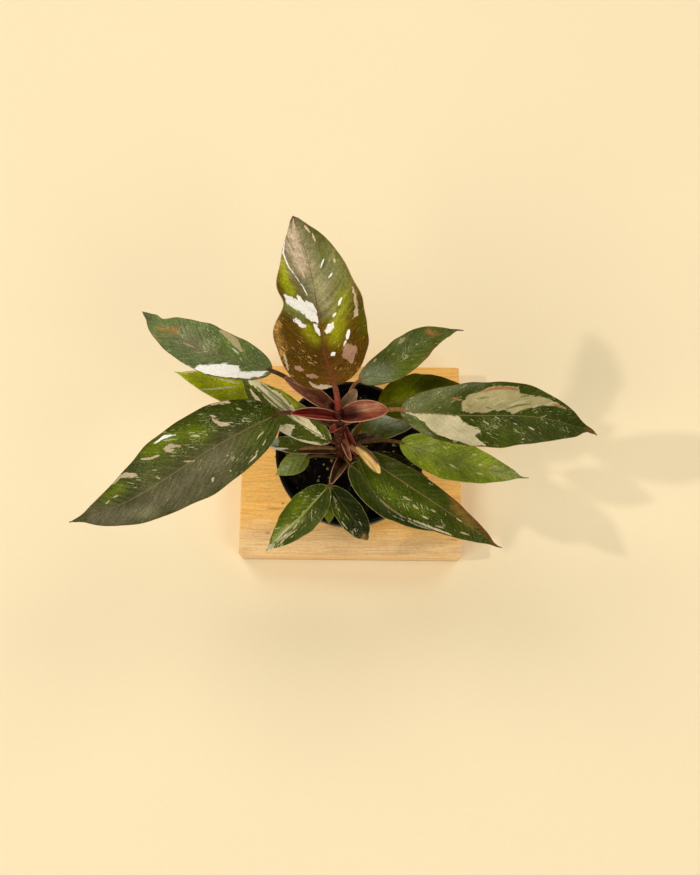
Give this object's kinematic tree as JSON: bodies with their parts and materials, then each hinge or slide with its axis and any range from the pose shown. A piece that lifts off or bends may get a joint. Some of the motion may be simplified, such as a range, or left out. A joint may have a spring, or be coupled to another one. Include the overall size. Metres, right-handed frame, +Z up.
{
  "type": "potted philodendron",
  "caption": "Bushy variegated philodendron with long pointed leaves on a short red stem, in a round black nursery pot standing on a thick square wooden board.",
  "frame": {"origin": "centre of the stand board's underside, on the surface that the board lies on", "axes": "+Z up; -Y towards the front, where the small front shoot hangs over the pot's rim; +X to the right seen from the front"},
  "size_m": [0.3836, 0.2039, 0.2724],
  "materials": {
    "board_wood": "sanded softwood with a straight grain, no varnish",
    "pot_plastic": "thin black moulded plastic, satin",
    "potting_mix": "dark damp bark and fibre mix with pale grit",
    "stem_skin": "smooth maroon skin with ring scars",
    "leaf_bronze": "glossy young leaf, bronze and green with white and pink patches",
    "leaf_dark_green": "waxy dark green leaf with cream and pink patches",
    "leaf_blue_green": "waxy blue-green leaf with silver specks",
    "leaf_lime": "waxy light green leaf",
    "leaf_olive": "waxy olive leaf",
    "leaf_cream": "waxy leaf, half cream and half green",
    "sheath_pink": "smooth pink sheath with a gloss",
    "sheath_maroon": "smooth dark red sheath",
    "sheath_brown": "dull brown sheath, drying",
    "sheath_tan": "dry papery tan sheath"
  },
  "bodies": {
    "root": {"stand_board": "board_wood", "nursery_pot": "pot_plastic", "potting_soil": "potting_mix", "main_stem": "stem_skin", "front_shoot_stem": "sheath_brown", "leaf_back_centre": "leaf_bronze", "leaf_back_left": "leaf_blue_green", "leaf_lime_left": "leaf_lime", "leaf_large_left": "leaf_dark_green", "leaf_cream_striped": "leaf_cream", "leaf_cream_edged": "leaf_cream", "leaf_fresh_small": "leaf_lime", "leaf_front_left_small": "leaf_dark_green", "leaf_front_right_small": "leaf_dark_green", "leaf_front_tiny": "leaf_dark_green", "leaf_front_right_large": "leaf_dark_green", "leaf_silver_edged": "leaf_blue_green", "leaf_lime_right": "leaf_lime", "leaf_large_right": "leaf_dark_green", "leaf_olive_back_right": "leaf_olive", "leaf_back_right": "leaf_blue_green", "leaf_under_right": "leaf_dark_green", "leaf_dark_low_right": "leaf_dark_green", "sheath_pink_right": "sheath_pink", "sheath_red_left": "sheath_maroon", "sheath_brown_back_left": "sheath_brown", "sheath_small_back_right": "sheath_brown", "sheath_curled_front": "sheath_pink", "sheath_strap_front": "sheath_pink", "sheath_maroon_front": "sheath_maroon", "sheath_tan_dry": "sheath_tan", "sheath_olive_left": "sheath_brown", "sheath_brown_right": "sheath_brown", "sheath_front_shoot": "sheath_brown"}
  },
  "joints": []
}
